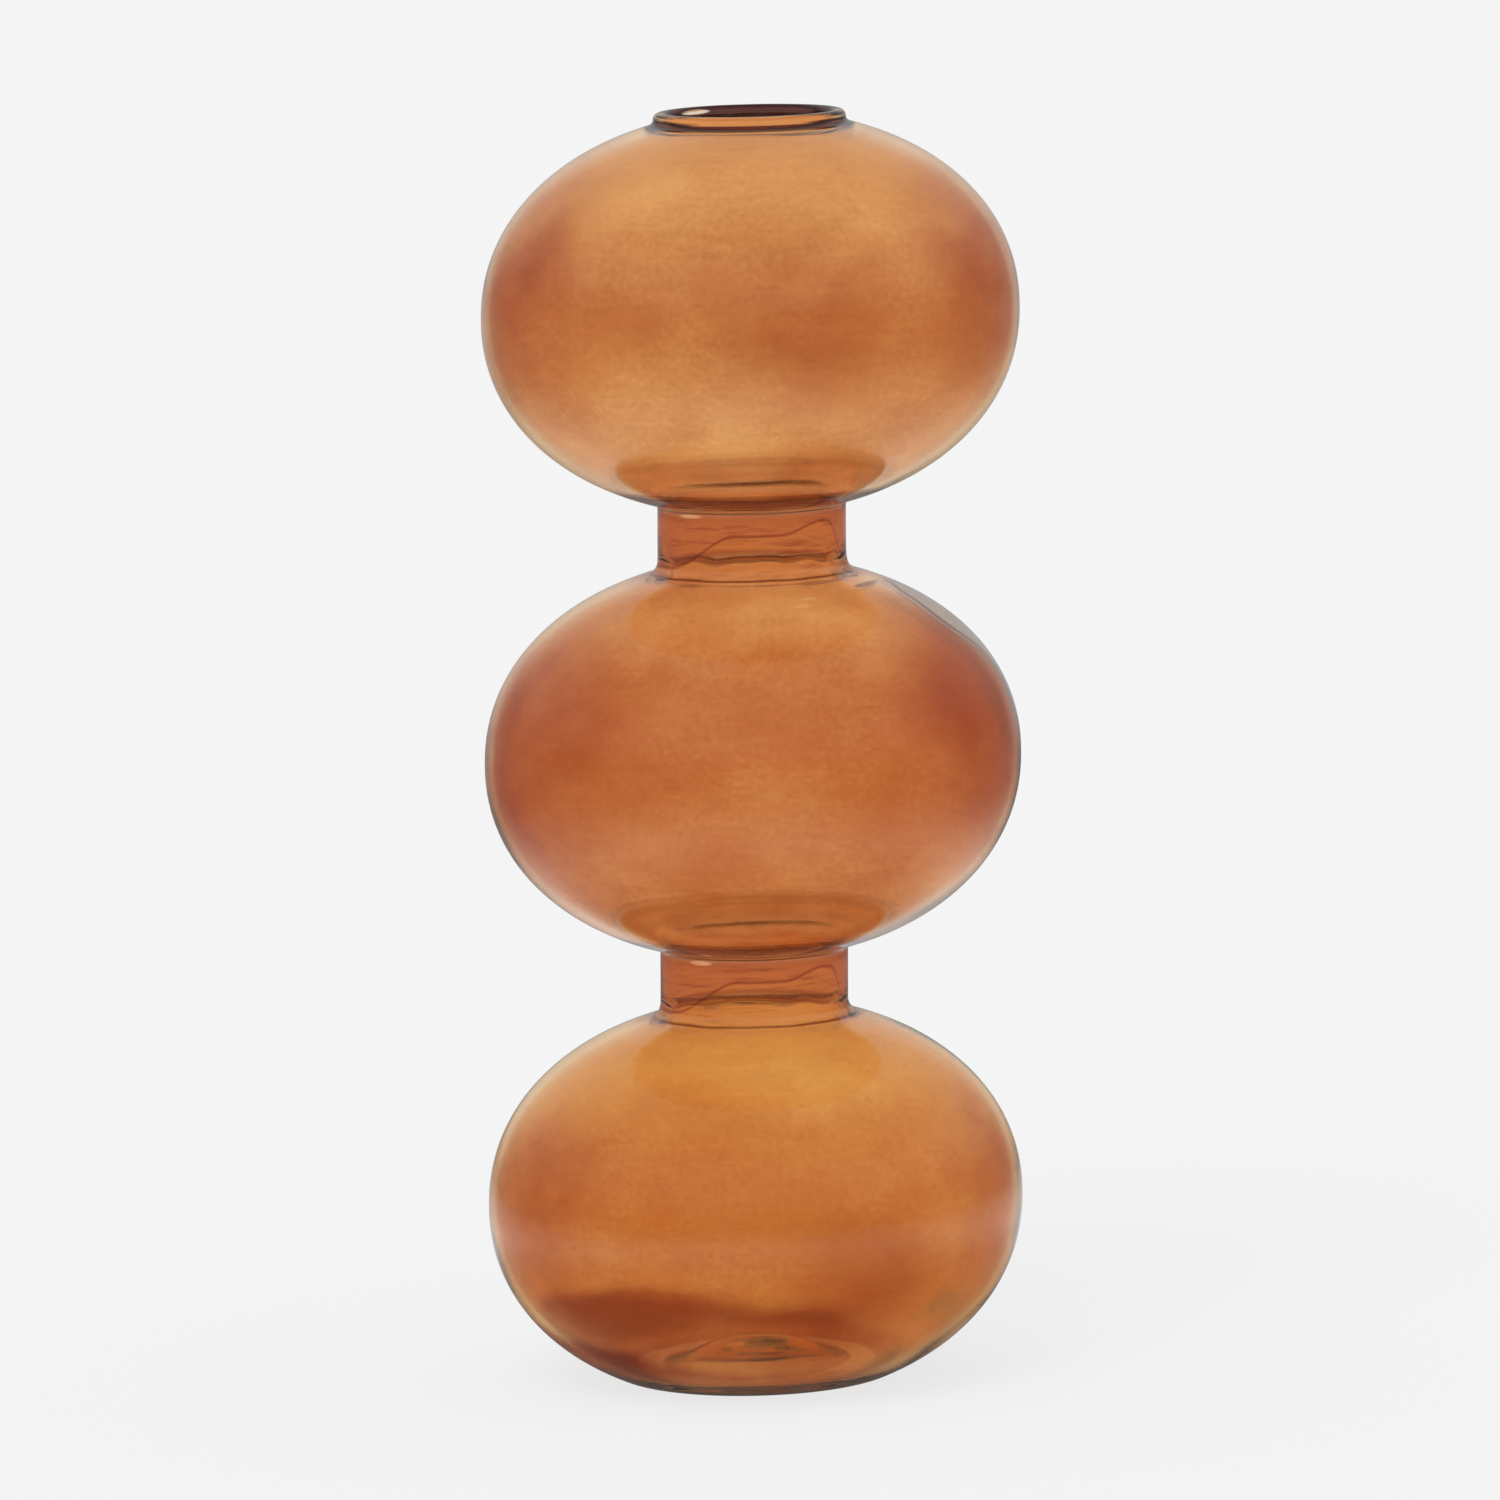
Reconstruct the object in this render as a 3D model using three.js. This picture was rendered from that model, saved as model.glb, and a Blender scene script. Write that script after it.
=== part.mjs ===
import * as THREE from 'three';

// A vase of blown glass: three flattened bubbles on one leaning axis, joined by two short necks.
// Millimetres, +Z up, the foot on z = 0.

// Bubbles
const BUBBLE_RADIUS = 63.3;
const BUBBLE_HALF_HEIGHT = 47.35;
const SQUARENESS = 2.11; // 2 gives an ellipse, more gives fuller shoulders

// Glass thickness
const CASING_WALL = 1.2;
const LINING_WALL = 0.6;

// Necks and the fused rings at their ends
const NECK_RADIUS = 22.25;
const NECK_LENGTH = 15.6;
const SEAM_WIDTH = 3.75;
const SEAM_LEG = 1.3;
const TOP_SEAM_FILLET = 0.9;
const BOTTOM_SEAM_FILLET = 2.8;
const SEAM_BORE_ROUNDING = 2.2;

// Mouth
const LIP_RADIUS = 21;
const LIP_HALF_THICKNESS = 1.65;
const LIP_RISE = 2.8;
const LIP_FILLET = 1.8;
const SHOULDER_WIDTH = 3.35;
const MOUTH_BORE_ROUNDING = 2.2;

// Foot and floor
const FOOT_RADIUS = 30.9;
const FOOT_ROUNDING = 2.3;
const FOOT_RING_WIDTH = 6.1;
const KICK_HEIGHT = 4;
const FLOOR_CASING = 2.4;
const FLOOR_ROUNDING = 4;

// Pontil scar
const SEAL_RADIUS = 5;
const SEAL_DEPTH = 1.6;
const SEAL_EDGE = 0.8;
const SEAL_OFFSET = 2.4;
const SEAL_SEAT_MARGIN = 0.8;

// Lean of the axis towards +X
const LEAN_DEGREES = 1.08;

// Mesh steps
const TURN_STEPS = 36;
const WALL_STEPS = 12;
const CORNER_STEPS = 3;
const LIP_STEPS = 8;
const KICK_STEPS = 4;

// Height of a bubble's skin above its centre at a radius, for a skin that lies inset from the outside
function skinRise(inset, radius) {
  const share = (radius / (BUBBLE_RADIUS - inset)) ** SQUARENESS;
  return (BUBBLE_HALF_HEIGHT - inset) * (1 - share) ** (1 / SQUARENESS);
}

// Radius of that skin at a height above or below the centre
function skinRadius(inset, rise) {
  const share = (Math.abs(rise) / (BUBBLE_HALF_HEIGHT - inset)) ** SQUARENESS;
  return (BUBBLE_RADIUS - inset) * (1 - share) ** (1 / SQUARENESS);
}

// The angle at which that skin has a radius, 0 at the widest ring
function skinAngle(inset, radius) {
  return Math.acos((radius / (BUBBLE_RADIUS - inset)) ** (SQUARENESS / 2));
}

// Values that follow from the sizes above
const WALL = CASING_WALL + LINING_WALL;
const NECK_LAYER = NECK_RADIUS - CASING_WALL;
const NECK_BORE = NECK_RADIUS - WALL;
const SEAM_RADIUS = NECK_RADIUS + SEAM_WIDTH;
const SHOULDER_RADIUS = LIP_RADIUS + LIP_HALF_THICKNESS + SHOULDER_WIDTH;
const FOOT_INNER_RADIUS = FOOT_RADIUS - FOOT_ROUNDING - FOOT_RING_WIDTH;
const SEAL_SEAT_RADIUS = SEAL_RADIUS + SEAL_OFFSET + SEAL_SEAT_MARGIN;
const NECK_START = skinRise(0, NECK_RADIUS);
const BUBBLE_PITCH = 2 * NECK_START + NECK_LENGTH;
const BOTTOM_CENTRE = skinRise(0, FOOT_RADIUS);
const MIDDLE_CENTRE = BOTTOM_CENTRE + BUBBLE_PITCH;
const TOP_CENTRE = MIDDLE_CENTRE + BUBBLE_PITCH;

// Glass colours
const paleAmberGlass = { color: 0xdcb088, roughness: 0.03, metalness: 0, transparent: true, opacity: 0.35 };
const amberGlass = { color: 0xc9713a, roughness: 0.08, metalness: 0, transparent: true, opacity: 0.75 };
const redAmberGlass = { color: 0xb4552e, roughness: 0.08, metalness: 0, transparent: true, opacity: 0.75 };
const seamGlass = { color: 0x8a3d1f, roughness: 0.05, metalness: 0, transparent: true, opacity: 0.7 };

const point = (radius, z) => new THREE.Vector2(radius, z);

// Points of a bubble's skin, from one radius below the widest ring up to another above it.
// The widest ring has a point of its own, so that the facets keep the bubble's full width.
function skin(centre, inset, lowRadius, highRadius) {
  const low = -skinAngle(inset, lowRadius);
  const high = skinAngle(inset, highRadius);
  const stepsBelow = Math.max(1, Math.round((WALL_STEPS * -low) / (high - low)));
  const stepsAbove = WALL_STEPS - stepsBelow;
  const points = [];
  for (let step = -stepsBelow; step <= stepsAbove; step += 1) {
    const angle = step < 0 ? (low * -step) / stepsBelow : (high * step) / stepsAbove;
    const radius = (BUBBLE_RADIUS - inset) * Math.cos(angle) ** (2 / SQUARENESS);
    const rise = (BUBBLE_HALF_HEIGHT - inset) * Math.abs(Math.sin(angle)) ** (2 / SQUARENESS);
    points.push(point(radius, centre + Math.sign(angle) * rise));
  }
  return points;
}

// A rounded corner between two points
function rounded(from, corner, to) {
  return new THREE.QuadraticBezierCurve(from, corner, to).getPoints(CORNER_STEPS);
}

// A solid of revolution from an anticlockwise outline, radius to the right and z up.
// An outline that starts on the axis also ends there, and any other is closed into a ring.
function turned(outline) {
  const startsOnAxis = outline[0].x === 0;
  const profile = startsOnAxis ? outline : [...outline, outline[0].clone()];
  const geometry = new THREE.LatheGeometry(profile, TURN_STEPS);
  return geometry.rotateX(Math.PI / 2);
}

// The lean slides each level sideways, so level rings stay level and meeting faces still meet
function leaning(geometry) {
  const slope = Math.tan(THREE.MathUtils.degToRad(LEAN_DEGREES));
  const lean = new THREE.Matrix4().set(
    1, 0, slope, -slope * MIDDLE_CENTRE,
    0, 1, 0, 0,
    0, 0, 1, 0,
    0, 0, 0, 1,
  );
  return geometry.applyMatrix4(lean);
}

// A wall between two skins of a bubble, open at both ends
function bubbleWall(centre, outerInset, innerInset, highRadius) {
  const outer = skin(centre, outerInset, SEAM_RADIUS, highRadius);
  const inner = skin(centre, innerInset, SEAM_RADIUS, highRadius);
  return turned([...outer, ...inner.toReversed()]);
}

// Rise of the kicked-up floor at a radius
function kickRise(radius) {
  const along = (radius - SEAL_SEAT_RADIUS) / (FOOT_INNER_RADIUS - SEAL_SEAT_RADIUS);
  return (KICK_HEIGHT * (1 + Math.cos(Math.PI * along))) / 2;
}

// A skin of the bottom bubble, from the axis over its floor and up to the neck
function bowl(inset, floorZ, rounding) {
  const turn = skinRadius(inset, BOTTOM_CENTRE - floorZ);
  const wall = skin(BOTTOM_CENTRE, inset, turn + rounding, SEAM_RADIUS);
  const points = [point(0, floorZ + KICK_HEIGHT)];
  for (let step = 0; step <= KICK_STEPS; step += 1) {
    const radius = SEAL_SEAT_RADIUS + ((FOOT_INNER_RADIUS - SEAL_SEAT_RADIUS) * step) / KICK_STEPS;
    points.push(point(radius, floorZ + kickRise(radius)));
  }
  points.push(...rounded(point(turn - rounding, floorZ), point(turn, floorZ), wall[0]));
  points.push(...wall.slice(1));
  return points;
}

// The fused ring between a bubble and a neck: side is 1 above the bubble and -1 below it
function seam(centre, side, fillet) {
  const onSkin = (inset, radius) => point(radius, centre + side * skinRise(inset, radius));
  const legEnd = centre + side * (NECK_START + fillet + SEAM_LEG);
  const outerCorner = onSkin(0, NECK_RADIUS);
  const innerCorner = onSkin(WALL, NECK_BORE);
  const neckTangent = point(NECK_RADIUS, outerCorner.y + side * fillet);
  const boreTangent = point(NECK_BORE, innerCorner.y + side * SEAM_BORE_ROUNDING);
  const outline = [
    onSkin(CASING_WALL, SEAM_RADIUS),
    onSkin(0, SEAM_RADIUS),
    ...rounded(onSkin(0, NECK_RADIUS + fillet), outerCorner, neckTangent),
    point(NECK_RADIUS, legEnd),
    point(NECK_LAYER, legEnd),
    point(NECK_BORE, legEnd),
    ...rounded(boreTangent, innerCorner, onSkin(WALL, NECK_BORE + SEAM_BORE_ROUNDING)),
    onSkin(WALL, SEAM_RADIUS),
  ];
  return turned(side > 0 ? outline : outline.toReversed());
}

// A tube of one of the neck's two glasses, between the legs of its seams
function neckTube(lowerCentre, innerRadius, outerRadius) {
  const low = lowerCentre + NECK_START + BOTTOM_SEAM_FILLET + SEAM_LEG;
  const high = lowerCentre + BUBBLE_PITCH - NECK_START - TOP_SEAM_FILLET - SEAM_LEG;
  return turned([
    point(innerRadius, low),
    point(outerRadius, low),
    point(outerRadius, high),
    point(innerRadius, high),
  ]);
}

// The lip and the shoulder that it grows out of
function mouth() {
  const onSkin = (inset, radius) => point(radius, TOP_CENTRE + skinRise(inset, radius));
  const outerCorner = onSkin(0, LIP_RADIUS + LIP_HALF_THICKNESS);
  const innerCorner = onSkin(WALL, LIP_RADIUS - LIP_HALF_THICKNESS);
  const lipCentre = outerCorner.y + LIP_RISE - LIP_HALF_THICKNESS;
  const lip = [];
  for (let step = 0; step <= LIP_STEPS; step += 1) {
    const angle = (Math.PI * step) / LIP_STEPS;
    const radius = LIP_RADIUS + LIP_HALF_THICKNESS * Math.cos(angle);
    lip.push(point(radius, lipCentre + LIP_HALF_THICKNESS * Math.sin(angle)));
  }
  return turned([
    onSkin(CASING_WALL, SHOULDER_RADIUS),
    onSkin(0, SHOULDER_RADIUS),
    ...rounded(onSkin(0, outerCorner.x + LIP_FILLET), outerCorner, lip[0]),
    ...lip.slice(1, -1),
    ...rounded(lip.at(-1), innerCorner, onSkin(WALL, innerCorner.x + MOUTH_BORE_ROUNDING)),
    onSkin(WALL, SHOULDER_RADIUS),
  ]);
}

// The pontil scar hangs under the flat middle of the floor, a little off the axis
function seal() {
  const bottom = KICK_HEIGHT - SEAL_DEPTH;
  const geometry = turned([
    point(0, bottom),
    point(SEAL_RADIUS - SEAL_EDGE, bottom),
    point(SEAL_RADIUS, bottom + SEAL_EDGE),
    point(SEAL_RADIUS, KICK_HEIGHT),
    point(0, KICK_HEIGHT),
  ]);
  return geometry.translate(SEAL_OFFSET, 0, 0);
}

const vase = new THREE.Group();
vase.name = 'vase';

function add(name, geometry, glass) {
  const mesh = new THREE.Mesh(leaning(geometry), new THREE.MeshStandardMaterial(glass));
  mesh.name = name;
  vase.add(mesh);
}

// Mouth, then the two bubbles that are open at both ends
add('mouth_rim', mouth(), amberGlass);
const openBubbles = [
  ['top_bubble', TOP_CENTRE, SHOULDER_RADIUS, amberGlass],
  ['middle_bubble', MIDDLE_CENTRE, SEAM_RADIUS, redAmberGlass],
];
for (const [name, centre, highRadius, tint] of openBubbles) {
  add(`${name}_casing`, bubbleWall(centre, 0, CASING_WALL, highRadius), paleAmberGlass);
  add(`${name}_lining`, bubbleWall(centre, CASING_WALL, WALL, highRadius), tint);
}

// Bottom bubble with its foot, floor and scar
const outside = bowl(0, 0, FOOT_ROUNDING);
const layer = bowl(CASING_WALL, FLOOR_CASING, FLOOR_ROUNDING);
const inside = bowl(WALL, FLOOR_CASING + LINING_WALL, FLOOR_ROUNDING);
add('bottom_bubble_casing', turned([...outside, ...layer.toReversed()]), paleAmberGlass);
add('bottom_bubble_lining', turned([...layer, ...inside.toReversed()]), amberGlass);
add('base_seal', seal(), paleAmberGlass);

// Necks, each between a top seam under one bubble and a bottom seam on the next
const necks = [
  ['upper_neck', TOP_CENTRE, MIDDLE_CENTRE],
  ['lower_neck', MIDDLE_CENTRE, BOTTOM_CENTRE],
];
for (const [name, upperCentre, lowerCentre] of necks) {
  add(`${name}_top_seam`, seam(upperCentre, -1, TOP_SEAM_FILLET), seamGlass);
  add(`${name}_casing`, neckTube(lowerCentre, NECK_LAYER, NECK_RADIUS), paleAmberGlass);
  add(`${name}_lining`, neckTube(lowerCentre, NECK_BORE, NECK_LAYER), redAmberGlass);
  add(`${name}_bottom_seam`, seam(lowerCentre, 1, BOTTOM_SEAM_FILLET), seamGlass);
}

export default vase;
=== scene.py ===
"""An amber triple-bubble glass vase on a pale floor, dressed over the frame's solids."""

import math

import bpy
import numpy as np
from mathutils import Matrix, Vector


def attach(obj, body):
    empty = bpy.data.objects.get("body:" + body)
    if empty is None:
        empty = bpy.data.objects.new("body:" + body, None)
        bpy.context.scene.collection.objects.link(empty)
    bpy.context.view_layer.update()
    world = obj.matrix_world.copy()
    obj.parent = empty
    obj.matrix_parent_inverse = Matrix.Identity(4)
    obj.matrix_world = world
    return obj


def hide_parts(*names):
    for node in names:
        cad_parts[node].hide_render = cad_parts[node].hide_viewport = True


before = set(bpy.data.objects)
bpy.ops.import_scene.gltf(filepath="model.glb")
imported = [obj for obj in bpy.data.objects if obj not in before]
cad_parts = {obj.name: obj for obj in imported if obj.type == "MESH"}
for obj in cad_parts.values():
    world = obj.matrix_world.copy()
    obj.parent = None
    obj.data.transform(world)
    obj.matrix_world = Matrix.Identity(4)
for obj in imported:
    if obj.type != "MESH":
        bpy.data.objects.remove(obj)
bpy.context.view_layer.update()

MM = 0.001

# Sizes of the glass, in millimetres, as in the solids
BUBBLE_RADIUS = 63.3
BUBBLE_HALF_HEIGHT = 47.35
SQUARENESS = 2.11
CASING_WALL = 1.2
LINING_WALL = 0.6
NECK_RADIUS = 22.25
NECK_LENGTH = 15.6
SEAM_WIDTH = 3.75
SEAM_LEG = 1.3
TOP_SEAM_FILLET = 0.9
BOTTOM_SEAM_FILLET = 2.8
SEAM_BORE_ROUNDING = 2.2
LOW_BORE_ROUNDING = 3.4
LIP_RADIUS = 21.0
LIP_HALF_THICKNESS = 1.65
LIP_RISE = 2.8
LIP_FILLET = 1.8
SHOULDER_WIDTH = 3.35
MOUTH_BORE_ROUNDING = 2.2
FOOT_RADIUS = 30.9
FOOT_ROUNDING = 2.3
FOOT_RING_WIDTH = 6.1
KICK_HEIGHT = 4.0
FLOOR_CASING = 2.4
FLOOR_ROUNDING = 4.0
SEAL_RADIUS = 5.0
SEAL_DEPTH = 1.6
SEAL_OFFSET = 2.4
SEAL_SEAT_MARGIN = 0.8
LEAN = math.tan(math.radians(1.08))

# Unevenness of the blown glass, in millimetres
OUTSIDE_WAVE = 0.06
INSIDE_WAVE = 0.06
SEAM_LUMP = 0.2
SEAM_RIDGE = 0.3
RIDGE_REACH = 2.2
SHOULDER_THICKENING = 0.5
FOOT_THICKENING = 0.5
WAVE_START = 12
TOP_SEAM_SHARE = 0.35

# Fineness of the meshes
TURN_STEPS = 180
BUBBLE_STEPS = 56
CORNER_STEPS = 10
LIP_STEPS = 18
KICK_STEPS = 12

# The photograph's camera: pixels of its 1500 pixel square frame, and sizes in metres
PHOTO_SIZE = 1500
AIM_PIXEL = (753.1, 761.3)
AIM_HEIGHT = 0.1464
CAMERA_DISTANCE = 2.6927
CAMERA_DOWN = math.radians(7.4)
CAMERA_ROLL = math.radians(1.426)
PIXELS_PER_METRE = 4241.5
SENSOR = 36.0

# Glass and surroundings
GLASS_IOR = 1.47
BACKGROUND = 0.913
FLOOR_COLOUR = 0.14
FLOOR_LIFT = 0.7725
MIRROR_SHARE = 0.185
SIDE_LEVEL = 0.2
UPPER_LEVEL = 0.46
OVERHEAD_DROP = -0.15
BACKDROP_LEVEL = 0.42
BACKDROP_REACH = (0.80, 0.97)
AMBIENT_LEVEL = 0.75
THROUGH_OVERHEAD = 0.4
NEAR_EYE_LEVEL = (0.0, 0.45)
NEAR_OVERHEAD = (0.45, 0.9)
LOOKING_THROUGH = (0.2, 0.8)

# How the floor shows in the glass: a painted pool of light that only reflections see, dimmed by painted shade
# near the vase; shares of its lift, and distances in metres
POOL_SHARE = 1.0
POOL_REACH = (0.15, 0.7)
SHADE_SHARE = 0.12
SHADE_REACH = (0.07, 0.22)
FAR_SHARE = 0.25
FAR_REACH = (-0.1, 0.4)
GLOSSY_DIMMING = 0.6


def skin_rise(inset, radius):
    """Height of a bubble's skin over its centre, for a skin that lies inset from the outside."""
    share = (radius / (BUBBLE_RADIUS - inset)) ** SQUARENESS
    return (BUBBLE_HALF_HEIGHT - inset) * (1 - share) ** (1 / SQUARENESS)


def skin_radius(inset, rise):
    """Radius of that skin at a height over or under the centre."""
    share = (abs(rise) / (BUBBLE_HALF_HEIGHT - inset)) ** SQUARENESS
    return (BUBBLE_RADIUS - inset) * (1 - share) ** (1 / SQUARENESS)


WALL = CASING_WALL + LINING_WALL
SEAM_RADIUS = NECK_RADIUS + SEAM_WIDTH
SHOULDER_RADIUS = LIP_RADIUS + LIP_HALF_THICKNESS + SHOULDER_WIDTH
FOOT_INNER_RADIUS = FOOT_RADIUS - FOOT_ROUNDING - FOOT_RING_WIDTH
SEAL_SEAT_RADIUS = SEAL_RADIUS + SEAL_OFFSET + SEAL_SEAT_MARGIN
NECK_START = skin_rise(0, NECK_RADIUS)
BUBBLE_PITCH = 2 * NECK_START + NECK_LENGTH
BOTTOM_CENTRE = skin_rise(0, FOOT_RADIUS)
MIDDLE_CENTRE = BOTTOM_CENTRE + BUBBLE_PITCH
TOP_CENTRE = MIDDLE_CENTRE + BUBBLE_PITCH
LOWER_NECK = (BOTTOM_CENTRE + MIDDLE_CENTRE) / 2
UPPER_NECK = (MIDDLE_CENTRE + TOP_CENTRE) / 2
MOUTH_LEVEL = TOP_CENTRE + skin_rise(0, LIP_RADIUS)

# Profiles: lists of (radius, height) in millimetres, from the bottom up


def bubble_skin(centre, inset, low_radius, high_radius):
    """A bubble's skin, from one radius below its widest ring up to another above it."""

    def angle_at(radius):
        return math.acos((radius / (BUBBLE_RADIUS - inset)) ** (SQUARENESS / 2))

    low, high = -angle_at(low_radius), angle_at(high_radius)
    points = []
    for step in range(BUBBLE_STEPS + 1):
        angle = low + (high - low) * step / BUBBLE_STEPS
        radius = (BUBBLE_RADIUS - inset) * math.cos(angle) ** (2 / SQUARENESS)
        rise = (BUBBLE_HALF_HEIGHT - inset) * abs(math.sin(angle)) ** (2 / SQUARENESS)
        points.append((radius, centre + math.copysign(rise, angle)))
    return points


def rounded(start, corner, end, steps=CORNER_STEPS):
    """A rounded corner as a quadratic curve."""
    points = []
    for step in range(steps + 1):
        t = step / steps
        weights = ((1 - t) ** 2, 2 * t * (1 - t), t * t)
        corners = (start, corner, end)
        points.append(tuple(sum(w * p[axis] for w, p in zip(weights, corners)) for axis in (0, 1)))
    return points


def straight(start, end, steps):
    """A straight run, with both ends."""
    return [
        tuple(start[axis] + (end[axis] - start[axis]) * step / steps for axis in (0, 1))
        for step in range(steps + 1)
    ]


def seam_skin(centre, side, inset, rounding, leg):
    """One skin of a fused ring, from the bubble's cut to the end of the ring's leg."""
    neck = NECK_RADIUS - inset
    corner = (neck, centre + side * skin_rise(inset, neck))
    flange = []
    for step in range(CORNER_STEPS):
        radius = SEAM_RADIUS + (neck + rounding - SEAM_RADIUS) * step / CORNER_STEPS
        flange.append((radius, centre + side * skin_rise(inset, radius)))
    turn = rounded(
        (neck + rounding, centre + side * skin_rise(inset, neck + rounding)),
        corner,
        (neck, corner[1] + side * rounding),
    )
    leg_end = (neck, centre + side * (NECK_START + leg))
    return flange + turn[:-1] + straight(turn[-1], leg_end, 4)


def kick_rise(radius):
    along = (radius - SEAL_SEAT_RADIUS) / (FOOT_INNER_RADIUS - SEAL_SEAT_RADIUS)
    return KICK_HEIGHT * (1 + math.cos(math.pi * min(max(along, 0), 1))) / 2


def bowl(inset, floor, rounding):
    """A skin of the bottom bubble, from the axis over its floor and up to the lower neck's seam."""
    turn = skin_radius(inset, BOTTOM_CENTRE - floor)
    wall = bubble_skin(BOTTOM_CENTRE, inset, turn + rounding, SEAM_RADIUS)
    points = straight((0, floor + KICK_HEIGHT), (SEAL_SEAT_RADIUS, floor + KICK_HEIGHT), 4)
    for step in range(1, KICK_STEPS + 1):
        radius = SEAL_SEAT_RADIUS + (FOOT_INNER_RADIUS - SEAL_SEAT_RADIUS) * step / KICK_STEPS
        points.append((radius, floor + kick_rise(radius)))
    points += straight(points[-1], (turn - rounding, floor), 3)[1:]
    points += rounded(points[-1], (turn, floor), wall[0])[1:]
    return points + wall[1:]


def mouth_skins():
    """The outside of the mouth up to its crest, and the inside, also from the bottom up."""
    outer_corner = (LIP_RADIUS + LIP_HALF_THICKNESS, 0)
    outer_corner = (outer_corner[0], TOP_CENTRE + skin_rise(0, outer_corner[0]))
    inner_radius = LIP_RADIUS - LIP_HALF_THICKNESS
    inner_corner = (inner_radius, TOP_CENTRE + skin_rise(WALL, inner_radius))
    lip_centre = outer_corner[1] + LIP_RISE - LIP_HALF_THICKNESS
    lip = []
    for step in range(LIP_STEPS + 1):
        angle = math.pi * step / LIP_STEPS
        radius = LIP_RADIUS + LIP_HALF_THICKNESS * math.cos(angle)
        lip.append((radius, lip_centre + LIP_HALF_THICKNESS * math.sin(angle)))
    fillet_start = outer_corner[0] + LIP_FILLET
    outside = []
    for step in range(4):
        radius = SHOULDER_RADIUS + (fillet_start - SHOULDER_RADIUS) * step / 4
        outside.append((radius, TOP_CENTRE + skin_rise(0, radius)))
    outside += rounded((fillet_start, TOP_CENTRE + skin_rise(0, fillet_start)), outer_corner, lip[0])[:-1]
    outside += lip[: LIP_STEPS // 2 + 1]
    bore_start = inner_radius + MOUTH_BORE_ROUNDING
    inside = lip[LIP_STEPS // 2 : -1]
    inside += rounded(lip[-1], inner_corner, (bore_start, TOP_CENTRE + skin_rise(WALL, bore_start)))
    for step in range(1, 7):
        radius = bore_start + (SHOULDER_RADIUS - bore_start) * step / 6
        inside.append((radius, TOP_CENTRE + skin_rise(WALL, radius)))
    return outside, inside[::-1]


def neck_run(lower_centre, radius):
    low = lower_centre + NECK_START + BOTTOM_SEAM_FILLET + SEAM_LEG
    high = lower_centre + BUBBLE_PITCH - NECK_START - TOP_SEAM_FILLET - SEAM_LEG
    return straight((radius, low), (radius, high), 10)


def whole_skin(inset, foot, mouth=None):
    """A skin of the whole vase as (piece, points) sections that follow on from each other."""
    rounding_over, rounding_under = LOW_BORE_ROUNDING, SEAM_BORE_ROUNDING
    if inset == 0:
        rounding_over, rounding_under = BOTTOM_SEAM_FILLET, TOP_SEAM_FILLET
    sections = [("bottom_bubble", foot)]
    for neck, low, high, bubble in (
        ("lower_neck", BOTTOM_CENTRE, MIDDLE_CENTRE, "middle_bubble"),
        ("upper_neck", MIDDLE_CENTRE, TOP_CENTRE, "top_bubble"),
    ):
        bottom_leg, top_leg = BOTTOM_SEAM_FILLET + SEAM_LEG, TOP_SEAM_FILLET + SEAM_LEG
        sections.append((neck + "_bottom_seam", seam_skin(low, 1, inset, rounding_over, bottom_leg)))
        sections.append((neck, neck_run(low, NECK_RADIUS - inset)))
        sections.append((neck + "_top_seam", seam_skin(high, -1, inset, rounding_under, top_leg)[::-1]))
        top = SHOULDER_RADIUS if bubble == "top_bubble" else SEAM_RADIUS
        sections.append((bubble, bubble_skin(high, inset, SEAM_RADIUS, top)))
    if mouth:
        sections.append(("mouth_rim", mouth))
    return sections


# Skins: rows of points round the vase, one row for each profile point

TURNS = np.arange(TURN_STEPS) * 2 * math.pi / TURN_STEPS
SIDEWAYS = np.sin(TURNS)
BACKWARDS = -np.cos(TURNS)


def bump(value, centre, reach):
    """A smooth hump of height 1 that fades out over reach."""
    return np.exp(-(((value - centre) / reach) ** 2))


def wave(turns, height, seed):
    """Slow swells round and up the glass, between -1 and 1."""
    return (
        np.sin(2 * turns + 0.043 * height + seed)
        + np.sin(3 * turns - 0.071 * height + 2.1 * seed)
        + np.sin(5 * turns + 0.112 * height + 3.7 * seed)
    ) / 3


def seam_levels():
    """Heights at which a neck joins the bubble under it, and the bubble over it."""
    for centre in (BOTTOM_CENTRE, MIDDLE_CENTRE):
        yield centre + NECK_START, 1.0
        yield centre + BUBBLE_PITCH - NECK_START, TOP_SEAM_SHARE


def outside_growth(height):
    """How far the outer skin stands off its profile, never outwards but at the seams."""
    growth = -OUTSIDE_WAVE * (1 + wave(TURNS, height, 1.0)) * min(height / WAVE_START, 1)
    if height > MOUTH_LEVEL - 2:
        growth = growth * 0.6
    for level, strength in seam_levels():
        lump = wave(3 * TURNS, level, 4.0) + 1.6 * bump(TURNS, 1.75, 0.2)
        growth = growth + SEAM_LUMP * strength * lump * bump(height, level + 1.5, RIDGE_REACH)
    return growth


def inside_growth(height):
    """How far the inner skin stands off its profile into the vase."""
    growth = INSIDE_WAVE * wave(TURNS, height, 2.0) * min(max(height - 6, 0) / WAVE_START, 1)
    if height > MOUTH_LEVEL - 3:
        growth = growth * 0
    for level, strength in seam_levels():
        ridge = 1 + 0.6 * wave(2 * TURNS, level, 5.0) + 1.2 * bump(TURNS, 1.75, 0.25)
        growth = growth + SEAM_RIDGE * strength * ridge * bump(height, level + 0.8, RIDGE_REACH)
    rise = height - MIDDLE_CENTRE
    growth = growth + SHOULDER_THICKENING * bump(TURNS, 1.65, 0.28) * bump(rise, 33, 9)
    growth = growth + FOOT_THICKENING * bump(TURNS, 1.6, 0.35) * bump(height, 11, 5)
    return growth


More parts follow.
